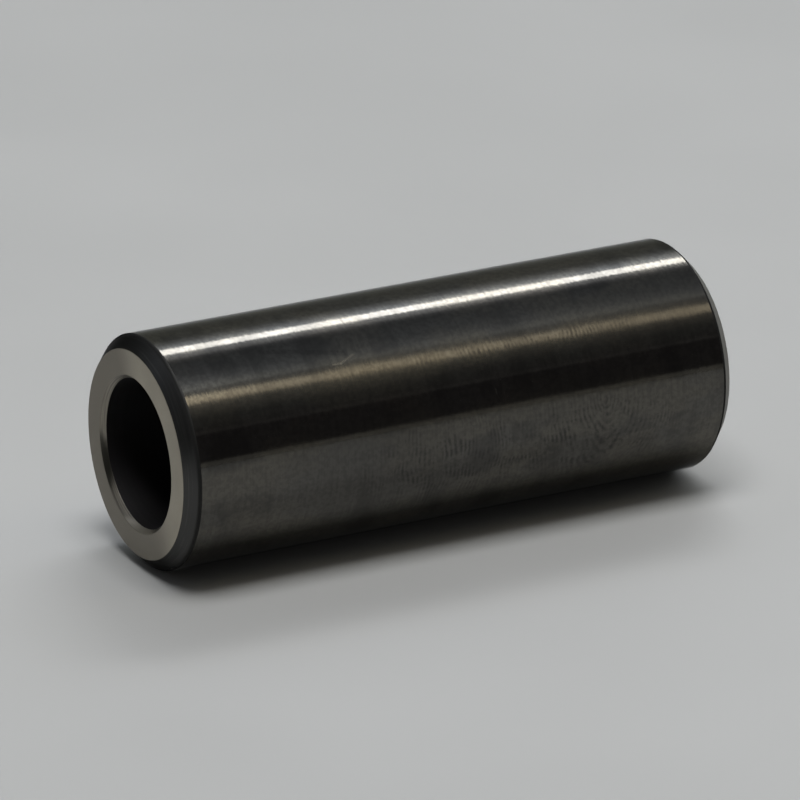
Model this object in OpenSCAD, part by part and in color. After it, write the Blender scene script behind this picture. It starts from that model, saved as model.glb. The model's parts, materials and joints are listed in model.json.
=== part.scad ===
// Gudgeon pin: a hollow, ground steel pin that joins a piston to its connecting rod.
// It stands on one end face, with the axis along +Z and the origin at the centre of that face.
// The whole pin is one turned and ground piece, so it is a single revolved half section.

/* [Pin] */
// Outside diameter of the ground bearing surface
pin_d = 22; // [20:0.5:40]
// Length over the two end faces
pin_l = 57; // [30:0.5:120]

/* [Bore] */
// Diameter of the bore that runs right through
bore_d = 14; // [6:0.5:16]
// Radial width of the chamfer at each mouth of the bore
bore_chamfer_w = 0.4; // [0.2:0.05:0.5]
// Axial depth of the chamfer at each mouth of the bore
bore_chamfer_l = 0.55; // [0.2:0.05:1.5]

/* [Lead chamfers] */
// Radial width of the lead chamfer on each end
lead_chamfer_w = 1.25; // [0.5:0.05:1.3]
// Axial length of the lead chamfer on each end
lead_chamfer_l = 1.2; // [0.5:0.05:4]

/* [Edges] */
// Radius where a lead chamfer runs out into the bearing surface
lead_r = 0.3; // [0.1:0.05:0.5]
// Radius where a lead chamfer meets its end face
face_edge_r = 0.15; // [0.05:0.05:0.2]
// Radius on both edges of each bore chamfer
bore_edge_r = 0.1; // [0.05:0.05:0.2]

/* [Hidden] */
$fn = 96;

steel = [0.27, 0.27, 0.265];

pin_r = pin_d / 2;
bore_r = bore_d / 2;

// The half section's corners as [radius, height, edge radius], up the outside from the lower bore mouth
corners = [
    [bore_r + bore_chamfer_w, 0, bore_edge_r],
    [pin_r - lead_chamfer_w, 0, face_edge_r],
    [pin_r, lead_chamfer_l, lead_r],
    [pin_r, pin_l - lead_chamfer_l, lead_r],
    [pin_r - lead_chamfer_w, pin_l, face_edge_r],
    [bore_r + bore_chamfer_w, pin_l, bore_edge_r],
    [bore_r, pin_l - bore_chamfer_l, bore_edge_r],
    [bore_r, bore_chamfer_l, bore_edge_r]
];

function point_of(corner) = [corner[0], corner[1]];
function unit(v) = v / norm(v);

// The waste outside an arc of radius r that touches both edges of a corner
module corner_waste(before, corner, after, r) {
    to_before = unit(before - corner);
    to_after = unit(after - corner);
    half_angle = acos(to_before * to_after) / 2;
    reach = r / tan(half_angle);
    centre = corner + unit(to_before + to_after) * r / sin(half_angle);
    difference() {
        polygon([corner, corner + to_before * reach, centre, corner + to_after * reach]);
        translate(centre) circle(r);
    }
}

// The pin's half section, right of the axis, with every edge rounded
module half_section() {
    count = len(corners);
    difference() {
        polygon([for (corner = corners) point_of(corner)]);
        for (i = [0 : count - 1])
            corner_waste(
                point_of(corners[(i + count - 1) % count]),
                point_of(corners[i]),
                point_of(corners[(i + 1) % count]),
                corners[i][2]
            );
    }
}

// The hollow pin, bored, chamfered at both ends and ground on the outside
module gudgeon_pin() {
    color(steel) rotate_extrude() half_section();
}

gudgeon_pin();
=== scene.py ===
import json
import math

import bmesh
import bpy
from mathutils import Matrix, Vector


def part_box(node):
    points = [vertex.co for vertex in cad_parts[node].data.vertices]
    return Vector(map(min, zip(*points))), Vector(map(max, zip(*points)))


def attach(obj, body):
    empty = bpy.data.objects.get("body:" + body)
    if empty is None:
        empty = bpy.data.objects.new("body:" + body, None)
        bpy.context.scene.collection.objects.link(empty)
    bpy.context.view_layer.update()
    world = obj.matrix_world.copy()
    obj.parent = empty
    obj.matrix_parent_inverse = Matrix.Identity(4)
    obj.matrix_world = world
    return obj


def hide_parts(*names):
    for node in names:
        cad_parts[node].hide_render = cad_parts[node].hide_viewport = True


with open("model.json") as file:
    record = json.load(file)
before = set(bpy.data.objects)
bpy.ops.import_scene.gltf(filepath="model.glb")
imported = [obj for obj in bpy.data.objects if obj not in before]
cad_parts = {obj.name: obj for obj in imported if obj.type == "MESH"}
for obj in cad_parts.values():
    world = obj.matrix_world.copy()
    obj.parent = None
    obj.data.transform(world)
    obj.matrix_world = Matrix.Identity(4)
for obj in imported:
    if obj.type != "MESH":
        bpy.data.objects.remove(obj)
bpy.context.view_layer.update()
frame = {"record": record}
bpy.context.scene.view_settings.view_transform = "Standard"


# Camera and lie of the pin
# The pin stands on its end in its own frame. In the picture it lies on a bench, so the bench is a plane
# that touches the pin's side, and the camera is turned so that this plane is level for it.
PIN_AXIS = Vector((0, 0, 1))
BENCH_AZIMUTH = math.radians(45)
BENCH_UP = Vector((math.sin(BENCH_AZIMUTH), -math.cos(BENCH_AZIMUTH), 0))
TO_VIEWER = BENCH_UP.cross(PIN_AXIS)

SENSOR_WIDTH = 36.0
CAMERA_LENS = 315.0
CAMERA_RISE = math.radians(20.77)
CAMERA_TURN = math.radians(28.17)
CAMERA_DISTANCE = 0.6482
AIM_HEIGHT = 0.02959
AIM_UP = 0.000374
AIM_RIGHT = -0.000071

heading = -math.sin(CAMERA_TURN) * PIN_AXIS - math.cos(CAMERA_TURN) * TO_VIEWER
forward = math.cos(CAMERA_RISE) * heading - math.sin(CAMERA_RISE) * BENCH_UP
right = heading.cross(BENCH_UP)
up = right.cross(forward)
aim = AIM_HEIGHT * PIN_AXIS + AIM_UP * up + AIM_RIGHT * right


def placed(origin, x_way, y_way, z_way):
    """The matrix that puts an object at origin, with its own axes along the three ways."""
    return Matrix.Translation(origin) @ Matrix((x_way, y_way, z_way)).transposed().to_4x4()


camera_data = bpy.data.cameras.new("camera")
camera_data.sensor_width = SENSOR_WIDTH
camera_data.lens = CAMERA_LENS
camera = bpy.data.objects.new("camera", camera_data)
bpy.context.scene.collection.objects.link(camera)
camera.matrix_world = placed(aim - CAMERA_DISTANCE * forward, right, up, -forward)
bpy.context.scene.camera = camera


# Gudgeon pin
# One hollow piece of case-hardened steel, turned from bar, bored right through and ground outside.
# A thin dark hard coat covers the outside and the lead chamfers, and is polished to a dark mirror.
# The end faces are ground back to bare steel, and the mouths of the bore are turned.
MM = 0.001
pin_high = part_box("gudgeon_pin")[1]
PIN_R = pin_high[0]
PIN_L = pin_high[2]
mounts = {mount["name"]: mount for mount in frame["record"]["mounts"]}
BORE_R = mounts["through_bore"]["dims"]["r_mm"] * MM
LEAD_CHAMFER_W = 1.25 * MM
LEAD_CHAMFER_L = 1.2 * MM
LEAD_EDGE_R = 0.3 * MM
FACE_EDGE_R = 0.15 * MM
BORE_CHAMFER_W = 0.4 * MM
BORE_CHAMFER_L = 0.55 * MM
BORE_EDGE_R = 0.1 * MM
ROUND_SIDES = 256
EDGE_STEPS = 5
WELD_REACH = 0.001 * MM
RING_REACH = 0.01 * MM

FACE_OUTER_R = PIN_R - LEAD_CHAMFER_W
FACE_INNER_R = BORE_R + BORE_CHAMFER_W
lead_slope = math.atan2(LEAD_CHAMFER_L, LEAD_CHAMFER_W)
bore_slope = math.atan2(BORE_CHAMFER_L, BORE_CHAMFER_W)

# The half section's rings as (radius, height), from the lower mouth of the bore up the outside
face_inner_rings = [(FACE_INNER_R, 0), (FACE_INNER_R, PIN_L)]
face_outer_rings = [(FACE_OUTER_R, 0), (FACE_OUTER_R, PIN_L)]
lead_rings = [(PIN_R, LEAD_CHAMFER_L), (PIN_R, PIN_L - LEAD_CHAMFER_L)]
bore_rings = [(BORE_R, BORE_CHAMFER_L), (BORE_R, PIN_L - BORE_CHAMFER_L)]
section = [
    face_inner_rings[0], face_outer_rings[0], lead_rings[0], lead_rings[1],
    face_outer_rings[1], face_inner_rings[1], bore_rings[1], bore_rings[0],
]

bpy.ops.object.select_all(action="DESELECT")
bpy.ops.mesh.primitive_circle_add(vertices=ROUND_SIDES, radius=section[0][0], location=(0, 0, 0))
pin = bpy.context.object
pin.name = "pin"
bpy.ops.object.mode_set(mode="EDIT")
bpy.ops.mesh.select_mode(type="EDGE")
bpy.ops.mesh.select_all(action="SELECT")
radius, height = section[0]
for next_radius, next_height in section[1:] + section[:1]:
    bpy.ops.mesh.extrude_region_move(TRANSFORM_OT_translate={"value": (0, 0, next_height - height)})
    growth = next_radius / radius
    bpy.ops.transform.resize(value=(growth, growth, 1), center_override=(0, 0, 0))
    radius, height = next_radius, next_height
bpy.ops.mesh.select_all(action="SELECT")
bpy.ops.mesh.remove_doubles(threshold=WELD_REACH)
bpy.ops.mesh.normals_make_consistent(inside=False)


def round_rings(rings, edge_radius, turn):
    """Rounds the edge loops at the given (radius, height) places, where the section turns by turn."""
    mesh = bmesh.from_edit_mesh(pin.data)
    for edge in mesh.edges:
        places = [(vertex.co.xy.length, vertex.co.z) for vertex in edge.verts]
        edge.select_set(any(
            all(math.dist(place, ring) < RING_REACH for place in places) for ring in rings
        ))
    bmesh.update_edit_mesh(pin.data)
    bpy.ops.mesh.bevel(
        offset_type="OFFSET", offset=edge_radius * math.tan(turn / 2), segments=EDGE_STEPS,
        profile=0.5, affect="EDGES",
    )


round_rings(lead_rings, LEAD_EDGE_R, math.pi / 2 - lead_slope)
round_rings(face_outer_rings, FACE_EDGE_R, lead_slope)
round_rings(face_inner_rings, BORE_EDGE_R, bore_slope)
round_rings(bore_rings, BORE_EDGE_R, math.pi / 2 - bore_slope)
bpy.ops.object.mode_set(mode="OBJECT")
bpy.ops.object.shade_smooth()
pin.modifiers.new("true normals", "WEIGHTED_NORMAL")
bpy.ops.object.modifier_apply(modifier="true normals")


class Shade:
    """A socket of a node tree. Arithmetic on it adds Math nodes, and node() adds any other node."""

    def __init__(self, tree, socket=None):
        self.tree = tree
        self.socket = socket

    def node(self, kind, settings=None, inputs=None, output=0):
        made = self.tree.nodes.new("ShaderNode" + kind)
        for name, value in (settings or {}).items():
            if name == "stops":
                while len(made.color_ramp.elements) < len(value):
                    made.color_ramp.elements.new(1)
                for element, (position, colour) in zip(made.color_ramp.elements, value):
                    element.position = position
                    element.color = colour
            else:
                setattr(made, name, value)
        for name, value in (inputs or {}).items():
            if isinstance(value, Shade):
                self.tree.links.new(value.socket, made.inputs[name])
            else:
                made.inputs[name].default_value = value
        return Shade(self.tree, made.outputs[output] if made.outputs else None)

    def math(self, operation, *others):
        return self.node("Math", {"operation": operation}, dict(enumerate((self,) + others)))

    def __add__(self, other):
        return self.math("ADD", other)

    def __sub__(self, other):
        return self.math("SUBTRACT", other)

    def __rsub__(self, other):
        return self.node("Math", {"operation": "SUBTRACT"}, {0: other, 1: self})

    def __mul__(self, other):
        return self.math("MULTIPLY", other)

    def __truediv__(self, other):
        return self.math("DIVIDE", other)

    __radd__ = __add__
    __rmul__ = __mul__

    def axes(self):
        """The three parts of a vector."""
        parts = self.node("SeparateXYZ", None, {"Vector": self}).socket.node.outputs
        return [Shade(self.tree, part) for part in parts]

    def turned(self, angle):
        """Turns a vector back by an angle about the pin's axis."""
        return self.node("Mapping", None, {"Vector": self, "Rotation": (0, 0, -angle)})

    def towards(self, azimuth):
        """How far a place lies from the pin's axis towards an azimuth in degrees."""
        turn = math.radians(azimuth)
        way = (math.cos(turn), math.sin(turn), 0)
        return self.node("VectorMath", {"operation": "DOT_PRODUCT"}, {0: self, 1: way}, "Value")

    def stretch(self, x, y, z):
        """Scales a vector by a factor on each axis."""
        return self.node("VectorMath", {"operation": "MULTIPLY"}, {0: self, 1: (x, y, z)})

    def noise(self, detail=2.0, roughness=0.5):
        """Soft noise from about 0.2 to 0.8, one cell to each unit of this vector."""
        return self.node(
            "TexNoise", None, {"Vector": self, "Scale": 1.0, "Detail": detail, "Roughness": roughness}, "Fac"
        )

    def fade(self, low, high):
        """Goes smoothly from 0 at low to 1 at high."""
        return self.node(
            "MapRange", {"interpolation_type": "SMOOTHSTEP"},
            {"Value": self, "From Min": low, "From Max": high}, "Result",
        )

    def blend(self, first, second):
        """Mixes two colours by this factor."""
        return self.node("Mix", {"data_type": "RGBA"}, {0: self, 6: first, 7: second}, 2)

    def relief(self, strength, depth):
        """Takes this as a height, and its unit as a depth in millimetres."""
        return self.node("Bump", None, {"Strength": strength, "Distance": depth * MM, "Height": self})


def new_finish(name):
    """Makes a material, and returns it with its empty node tree and the piece's own place in millimetres."""
    material = bpy.data.materials.new(name)
    material.use_nodes = True
    material.node_tree.nodes.clear()
    tree = Shade(material.node_tree)
    place = tree.node("TexCoord", output="Object").stretch(1 / MM, 1 / MM, 1 / MM)
    return material, tree, place


def seal(tree, sockets):
    """Ends a metal finish with its shader and output."""
    shader = tree.node("BsdfPrincipled", None, {"Metallic": 1.0, **sockets})
    tree.node("OutputMaterial", None, {"Surface": shader})


# The polished outside, with fine grinding lines round it, oily smears, finger marks and a few scratches.
# A place on it is given as millimetres along the pin and degrees round it from the side facing the viewer.
FACING = math.atan2(-forward.y, -forward.x)
COAT = (0.114, 0.111, 0.102, 1)
COAT_OILY = (0.124, 0.118, 0.103, 1)
COAT_WIPED = (0.084, 0.082, 0.076, 1)
# Darker coat for a real smudge, and for painted shade over a reflection
COAT_SMUDGE_AND_SHADE = (0.062, 0.06, 0.056, 1)
COAT_HIGHLIGHT = (0.19, 0.184, 0.168, 1)
COAT_RIDGE = (0.06, 0.058, 0.055, 1)
COAT_SCRATCHED = (0.3, 0.29, 0.26, 1)
COAT_ROUGHNESS = 0.055
COAT_TINT = (0.42, 0.42, 0.42, 1)
COAT_RELIEF = 0.0012
RIDGE_PITCH = 0.42
RIDGE_SQUEEZE = 0.5
RIDGE_SWAY = 2.0
SCRATCH_TAPER = 0.3

# Ovals as (centre, half length, half width)
SMUDGE = ((38, -28), 12, 7)
FILM = ((28, 17), 40, 2.6)
# Painted shade: an oval on the far part of the pin that dims the warm lamp's reflection
WARM_REFLECTION_SHADE = ((0, 23), 22, 4)
# Painted highlight: an oval at the near end that brightens the warm lamp's reflection
WARM_REFLECTION_BOOST = ((58, 25), 13, 2.2)
# Finger marks as (core of the arcs, centre of the patch, its half length, its half width)
FINGER_MARKS = [
    ((14, -17), (16, -34), 12, 6),
    ((58, -35), (30, -34), 13, 6),
    ((70, 5), (20, 15), 18, 2.3),
    ((22, 118), (22, 118), 7, 6),
    ((41, -128), (41, -128), 7, 6),
]
# Scratches as (one end, the other end, half width)
RUBBED_STREAK = ((47.0, 40.0), (38.5, 29.5), 0.4)
SCRATCHES = [
    ((39.9, 24.4), (37.9, 29.1), 0.16),
    ((40.7, 24.9), (39.5, 25.1), 0.12),
    ((25.3, 0.0), (25.1, -5.0), 0.1),
]

coat, tree, place = new_finish("polished_coat")
forth, sideways, along = place.turned(FACING).axes()
across = sideways.math("ARCTAN2", forth) * (PIN_R / MM)
skin = tree.node("CombineXYZ", None, {"X": across, "Y": along})


def arc_place(degrees):
    """The distance round the outside, in millimetres, from the side that faces the viewer."""
    return math.radians(degrees) * PIN_R / MM


def oval_reach(centre, length, width):
    """The distance from a place, as a share of an oval's half axes."""
    rise = (along - centre[0]) / length
    run = (across - arc_place(centre[1])) / width
    return (rise * rise + run * run).math("SQRT")


def oval_patch(oval, core, rim):
    """1 in the core of an oval, fading to 0 at its rim, both as shares of its half axes."""
    return 1 - oval_reach(*oval).fade(core, rim)


def finger_mark(core, patch, length, width):
    """The ridges of a finger mark: arcs round a core, seen in an oval patch and broken by dry spots."""
    arcs = oval_reach(core, 1, 1 / RIDGE_SQUEEZE) + sway
    ridges = (arcs * (2 * math.pi / RIDGE_PITCH)).math("SINE") * 0.5 + 0.5
    return ridges * (1 - (oval_reach(patch, length, width) + sway * 0.15).fade(0.4, 1.2)) * pressed


def scratch(start, end, width):
    """A straight scratch between two places on the outside."""
    begin = Vector((arc_place(start[1]), start[0]))
    run = Vector((arc_place(end[1]), end[0])) - begin
    direction = run.normalized()
    aside = across - begin.x
    rise = along - begin.y
    distance = aside * direction.y - rise * direction.x
    travel = aside * direction.x + rise * direction.y
    line = 1 - distance.math("ABSOLUTE").fade(width * 0.4, width)
    return line * travel.fade(0, SCRATCH_TAPER) * (1 - travel.fade(run.length - SCRATCH_TAPER, run.length))


grinding = place.stretch(0.12, 0.12, 4.5).noise(3.0, 0.6)
honing = place.stretch(0.9, 0.9, 4.2).noise(2.0)
grain = place.stretch(2.2, 2.2, 2.2).noise(3.0, 0.6)
smear = place.stretch(0.22, 0.22, 0.11).noise(3.0, 0.55).fade(0.42, 0.62)
wiped = place.stretch(0.09, 0.09, 0.3).noise(2.0, 0.5).fade(0.45, 0.62)
pressed = skin.stretch(0.7, 0.45, 1).noise(5.0, 0.65).fade(0.38, 0.66)
sway = skin.stretch(0.2, 0.16, 1).noise(1.0) * RIDGE_SWAY
touched = sum(finger_mark(*mark) for mark in FINGER_MARKS)
rubbed = scratch(*RUBBED_STREAK)
scratches = sum(scratch(*run) for run in SCRATCHES)
film = oval_patch(FILM, 0.4, 1.1)
# A real smudge, and painted shade that dims the warm lamp's reflection on the far part
smudge_and_painted_shade = oval_patch(SMUDGE, 0.2, 1.0) * 0.3 + oval_patch(WARM_REFLECTION_SHADE, 0.2, 1.0) * 0.5
# Painted highlight that brightens the warm lamp's reflection at the near end
painted_highlight = oval_patch(WARM_REFLECTION_BOOST, 0.2, 1.1) * 0.75
lines = grinding.fade(0.35, 0.7) * 0.2 + grain.fade(0.4, 0.6) * 0.34

shade = smear.blend(wiped.blend(COAT, COAT_WIPED), COAT_OILY)
shade = smudge_and_painted_shade.blend(shade, COAT_SMUDGE_AND_SHADE)
shade = painted_highlight.blend(shade, COAT_HIGHLIGHT)
shade = (touched * 0.8 + rubbed * 0.3 + lines).blend(shade, COAT_RIDGE)
shade = (scratches * 0.13).blend(shade, COAT_SCRATCHED)
marks_roughness = smear * 0.03 + film * 0.05 + touched * 0.09 + scratches * 0.15
seal(tree, {
    "Base Color": shade,
    "Roughness": COAT_ROUGHNESS + grinding * 0.03 + marks_roughness,
    "Anisotropic": 0.4,
    "Specular Tint": COAT_TINT,
    "Normal": (grinding + honing * 7.0 - scratches).relief(0.6, COAT_RELIEF),
})

# The lead chamfers keep the turning lines under the same dark coat. Where a chamfer is blended into the
# outside, painted shade darkens it, and on the lower end a painted reflection makes it paler.
CHAMFER_COAT = (0.068, 0.068, 0.067, 1)
CHAMFER_WORN = (0.098, 0.097, 0.094, 1)
CHAMFER_EDGE_SHADE = (0.035, 0.035, 0.034, 1)
CHAMFER_REFLECTION = (0.38, 0.37, 0.345, 1)
CHAMFER_ROUGHNESS = 0.3
CHAMFER_TINT = (0.3, 0.3, 0.3, 1)
BLEND_FROM = PIN_R / MM - 0.3
BLEND_TO = PIN_R / MM - 0.08
REFLECTION_FULL_TO = 5
REFLECTION_GONE_FROM = 40
chamfer_coat, tree, place = new_finish("turned_coat")
turning = place.stretch(0.15, 0.15, 9.0).noise(3.0, 0.6)
x, y, z = place.axes()
edge = (x * x + y * y).math("SQRT").fade(BLEND_FROM, BLEND_TO)
painted_reflection = 1 - z.fade(REFLECTION_FULL_TO, REFLECTION_GONE_FROM)
shade = turning.fade(0.5, 0.75).blend(CHAMFER_COAT, CHAMFER_WORN)
# Painted shade over the fillet's band, and a painted reflection on the lower end
shade = edge.blend(painted_reflection.blend(shade, CHAMFER_REFLECTION), CHAMFER_EDGE_SHADE)
seal(tree, {
    "Base Color": shade,
    "Roughness": CHAMFER_ROUGHNESS + turning * 0.14 + edge * 0.25,
    "Specular Tint": CHAMFER_TINT,
    "Normal": turning.relief(0.5, 0.004),
})

# The end faces are bare steel, ground matt, with painted shade that leaves one side brighter
BARE_STEEL = (0.46, 0.425, 0.355, 1)
BARE_STEEL_SHADED = (0.258, 0.238, 0.202, 1)
END_ROUGHNESS = 0.5
LIT_SIDE_AZIMUTH = -110
LIT_SIDE_REACH = 5
end_steel, tree, place = new_finish("ground_end")
grit = place.stretch(5.0, 5.0, 5.0).noise(4.0, 0.65)
cloud = place.stretch(0.16, 0.16, 0.16).noise(3.0, 0.5).fade(0.35, 0.7)
# Painted shade: the face darkens away from one side, broken by a random cloud of tone
painted_shade_and_cloud = 1 - place.towards(LIT_SIDE_AZIMUTH).fade(0, LIT_SIDE_REACH) + cloud * 0.25
seal(tree, {
    "Base Color": painted_shade_and_cloud.blend(BARE_STEEL, BARE_STEEL_SHADED),
    "Roughness": END_ROUGHNESS + grit * 0.15,
    "Normal": grit.relief(0.5, 0.004),
})

# The chamfered mouths of the bore are turned steel, darker than the faces, with a painted dark reflection
# and a painted bright reflection
MOUTH_STEEL = (0.28, 0.26, 0.22, 1)
MOUTH_STEEL_DULL = (0.15, 0.138, 0.118, 1)
MOUTH_DARK_REFLECTION = (0.08, 0.077, 0.066, 1)
MOUTH_ROUGHNESS = 0.32
DARK_REFLECTION_AZIMUTH = 68
DARK_REFLECTION_BEYOND = (6.6, 7.1)
BRIGHT_REFLECTION_AZIMUTH = 140
BRIGHT_REFLECTION_BEYOND = (6.5, 7.0)
mouth_steel, tree, place = new_finish("turned_mouth")
turning = place.stretch(0.2, 0.2, 12.0).noise(3.0, 0.6)
shade = turning.fade(0.4, 0.7).blend(MOUTH_STEEL, MOUTH_STEEL_DULL)
# Painted dark reflection on one side of the mouth, and a painted bright reflection on another
shade = place.towards(DARK_REFLECTION_AZIMUTH).fade(*DARK_REFLECTION_BEYOND).blend(shade, MOUTH_DARK_REFLECTION)
shade = place.towards(BRIGHT_REFLECTION_AZIMUTH).fade(*BRIGHT_REFLECTION_BEYOND).blend(shade, BARE_STEEL)
seal(tree, {
    "Base Color": shade,
    "Roughness": MOUTH_ROUGHNESS + turning * 0.14,
    "Normal": turning.relief(0.5, 0.003),
})

# The bore is left as it came from boring and hardening, dull, with the tool's feed lines.
# Towards its two mouths it is darkened by painted shade.
BORE_SCALE = (0.18, 0.169, 0.171, 1)
BORE_SCALE_THIN = (0.23, 0.216, 0.215, 1)
BORE_SHADE = (0.04, 0.038, 0.039, 1)
BORE_ROUGHNESS = 0.6
BORE_SHADE_RANGE = (8, 26)
bore_scale, tree, place = new_finish("bored_scale")
feed = place.stretch(0.1, 0.1, 3.0).noise(2.0, 0.5)
blotch = place.stretch(0.25, 0.25, 0.12).noise(3.0, 0.6)
z = place.axes()[2]
from_middle = (z - PIN_L / 2 / MM).math("ABSOLUTE")
shade = blotch.fade(0.45, 0.7).blend(BORE_SCALE, BORE_SCALE_THIN)
# Painted shade, deepest at the two mouths
shade = from_middle.fade(*BORE_SHADE_RANGE).blend(shade, BORE_SHADE)
seal(tree, {
    "Base Color": shade,
    "Roughness": BORE_ROUGHNESS + feed * 0.2,
    "Normal": feed.relief(0.6, 0.01),
})

# Each zone of the pin takes its own finish, by the slope of its faces and the side that they look to
FLAT_SLOPE = 0.75
OUTSIDE_SLOPE = 0.05
BORE_SLOPE = 0.5
finishes = [coat, chamfer_coat, end_steel, mouth_steel, bore_scale]
for finish in finishes:
    pin.data.materials.append(finish)
for face in pin.data.polygons:
    slope = abs(face.normal.z)
    outward = face.normal.xy.dot(face.center.xy) > 0
    if slope > FLAT_SLOPE:
        finish = end_steel
    elif outward:
        finish = coat if slope < OUTSIDE_SLOPE else chamfer_coat
    else:
        finish = bore_scale if slope < BORE_SLOPE else mouth_steel
    face.material_index = finishes.index(finish)

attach(pin, "root")
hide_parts("gudgeon_pin")


# Bench
# A plain pale worktop that the pin lies on, large enough to reach past every edge of the picture.
# It is seen only from its upper side, so it hides nothing from the views below it. Right under the pin,
# in the black of its contact shadow, the pin mirrors the room beneath instead.
BENCH_SPAN = 1.2
BENCH_COLOUR = (0.4, 0.404, 0.397, 1)
BENCH_WORN = (0.42, 0.424, 0.417, 1)
BENCH_ROUGHNESS = 0.6
STRAY_COLOUR = (0.85, 0.85, 0.83, 1)
STRAY_LIGHT = 0.003
MIRRORED_LIGHT = 0.09

# Millimetres out from under the pin, towards the viewer, over which each effect comes or goes
SPILL_COMES = (3.2, 6.5)
SPILL_GOES = (8, 14)
OPENING_COMES = (-45, -12)
OPENING_GOES = (-1.5, 1.2)
# The same along the pin
END_SPILL_COMES = (52, 57)
OPENING_STARTS = (-40, -5)
OPENING_ENDS = (44, 57)

bpy.ops.object.select_all(action="DESELECT")
bpy.ops.mesh.primitive_plane_add(size=BENCH_SPAN)
bench = bpy.context.object
bench.name = "bench"
bench.matrix_world = placed(-PIN_R * BENCH_UP, PIN_AXIS, TO_VIEWER, BENCH_UP)
bench_top, tree, place = new_finish("bench_top")
haze = place.stretch(0.02, 0.02, 0.02).noise(2.0)
colour = haze.fade(0.3, 0.7).blend(BENCH_COLOUR, BENCH_WORN)
paint = tree.node("BsdfPrincipled", None, {"Base Color": colour, "Roughness": BENCH_ROUGHNESS})
stray = tree.node("Emission", None, {"Color": STRAY_COLOUR})
clear = tree.node("BsdfTransparent")
mirrored = tree.node("LightPath", output="Is Glossy Ray")
below = tree.node("NewGeometry", output="Backfacing")

lengthwise, out = place.axes()[:2]
spill = out.fade(*SPILL_COMES) * (1 - out.fade(*SPILL_GOES)) + lengthwise.fade(*END_SPILL_COMES) * 0.5
opening = (1 - out.fade(*OPENING_GOES)) * out.fade(*OPENING_COMES)
opening = opening * lengthwise.fade(*OPENING_STARTS) * (1 - lengthwise.fade(*OPENING_ENDS))
top = tree.node("MixShader", None, {0: mirrored * spill * MIRRORED_LIGHT + STRAY_LIGHT, 1: paint, 2: stray})
top = tree.node("MixShader", None, {0: below.math("MAXIMUM", mirrored * opening), 1: top, 2: clear})
tree.node("OutputMaterial", None, {"Surface": top})
bench.data.materials.append(bench_top)


# Room and lamps
# A dim room round the bench, which polished metal mirrors and the camera doesn't see.
# A soft key lamp hangs over the bench, a bright strip lamp behind the pin and a dim warm one before it.
ROOM_R = 3.0
ROOM_LIGHT = 2.5
NEAR_END_DIMMING = 0.8
DIMMING_COMES = (-0.35, 0.15)
SURROUND = (0.5, 0.5, 0.49, 1)

# Tones as (degrees round the pin's axis from the viewer's side, colour). The lower half mirrors the upper.
ROOM_TONES = [
    # The dark side, towards the viewer
    (2.6, (0.26, 0.253, 0.232)),
    (4, (0.058, 0.055, 0.056)),
    (29, (0.058, 0.054, 0.056)),
    (31, (0.115, 0.11, 0.11)),
    (34, (0.088, 0.085, 0.085)),
    (44, (0.115, 0.115, 0.112)),
    # A paler wall that ends in a bright edge
    (52, (0.23, 0.224, 0.205)),
    (64, (0.4, 0.39, 0.36)),
    (70, (0.42, 0.42, 0.4)),
    (72.5, (0.38, 0.385, 0.38)),
    (75, (0.66, 0.675, 0.67)),
    # The dim ceiling
    (82, (0.41, 0.43, 0.46)),
    (90, (0.275, 0.292, 0.318)),
    (108, (0.195, 0.207, 0.226)),
    (112, (0.3, 0.31, 0.34)),
    # The glow round the strip lamp
    (116, (1.05, 1.08, 1.14)),
    (130, (2.3, 2.45, 2.7)),
    (134, (1.5, 1.6, 1.75)),
    (138, (0.88, 0.93, 0.99)),
    # The wall behind
    (145, (0.44, 0.465, 0.465)),
    (180, (0.5, 0.515, 0.475)),
]

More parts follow.
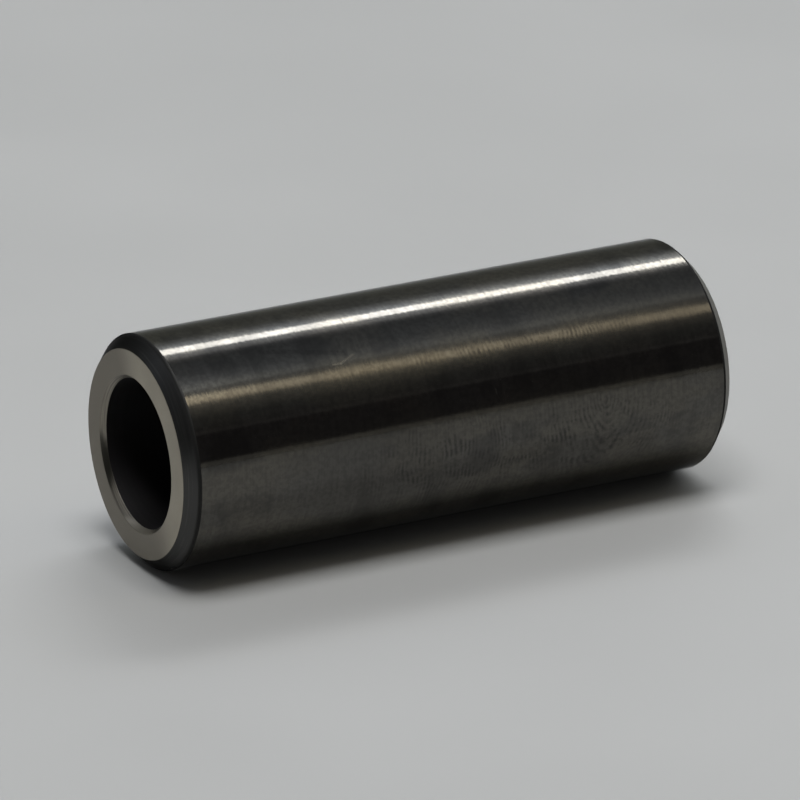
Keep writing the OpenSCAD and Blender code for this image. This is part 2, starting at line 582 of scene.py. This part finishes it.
bpy.ops.object.select_all(action="DESELECT")
bpy.ops.mesh.primitive_uv_sphere_add(segments=64, ring_count=32, radius=ROOM_R)
room = bpy.context.object
room.name = "room"
room.visible_camera = False
dim_room, tree, place = new_finish("dim_room")
level, rise, lengthwise = place.turned(math.atan2(TO_VIEWER.y, TO_VIEWER.x)).axes()
swing = rise.math("ARCTAN2", level).math("ABSOLUTE") / math.pi
stops = [(angle / 180, tuple(part / ROOM_LIGHT for part in tone) + (1,)) for angle, tone in ROOM_TONES]
tones = tree.node("ValToRGB", {"stops": stops}, {"Fac": swing})
dimmed = (lengthwise / (ROOM_R / MM)).fade(*DIMMING_COMES) * NEAR_END_DIMMING
light = tree.node("Emission", None, {"Color": dimmed.blend(tones, (0, 0, 0, 1)), "Strength": ROOM_LIGHT})
tree.node("OutputMaterial", None, {"Surface": light})
room.data.materials.append(dim_room)


def hang_lamp(name, angle, tilt, distance, offset, width, length, power, colour):
    """Hangs a lamp at an angle round the pin's axis from the viewer's side, and an offset along the axis.

    It faces the axis, and its length lies along it but for the tilt.
    """
    angle = math.radians(angle)
    tilt = math.radians(tilt)
    outward = math.cos(angle) * TO_VIEWER + math.sin(angle) * BENCH_UP
    round_pin = PIN_AXIS.cross(outward)
    width_way = math.cos(tilt) * round_pin - math.sin(tilt) * PIN_AXIS
    length_way = math.cos(tilt) * PIN_AXIS + math.sin(tilt) * round_pin
    lamp_data = bpy.data.lights.new(name, "AREA")
    lamp_data.shape = "RECTANGLE"
    lamp_data.size = width
    lamp_data.size_y = length
    lamp_data.energy = power
    lamp_data.color = colour
    lamp = bpy.data.objects.new(name, lamp_data)
    bpy.context.scene.collection.objects.link(lamp)
    lamp.matrix_world = placed(distance * outward + offset * PIN_AXIS, width_way, length_way, outward)
    lamp.visible_camera = False


hang_lamp(
    "key_lamp", angle=82, tilt=0, distance=0.8, offset=0.12,
    width=0.33, length=0.4, power=4.65, colour=(0.99, 0.99, 1),
)
hang_lamp(
    "strip_lamp", angle=123.9, tilt=18, distance=0.9, offset=-0.42,
    width=0.119, length=0.48, power=1.7, colour=(1, 0.99, 0.98),
)
hang_lamp(
    "warm_lamp", angle=62.4, tilt=24, distance=0.9, offset=-0.42,
    width=0.11, length=0.9, power=0.47, colour=(1, 0.86, 0.62),
)

world = bpy.data.worlds.new("pale_surround")
world.use_nodes = True
world.node_tree.nodes["Background"].inputs["Color"].default_value = SURROUND
bpy.context.scene.world = world

bpy.context.view_layer.update()
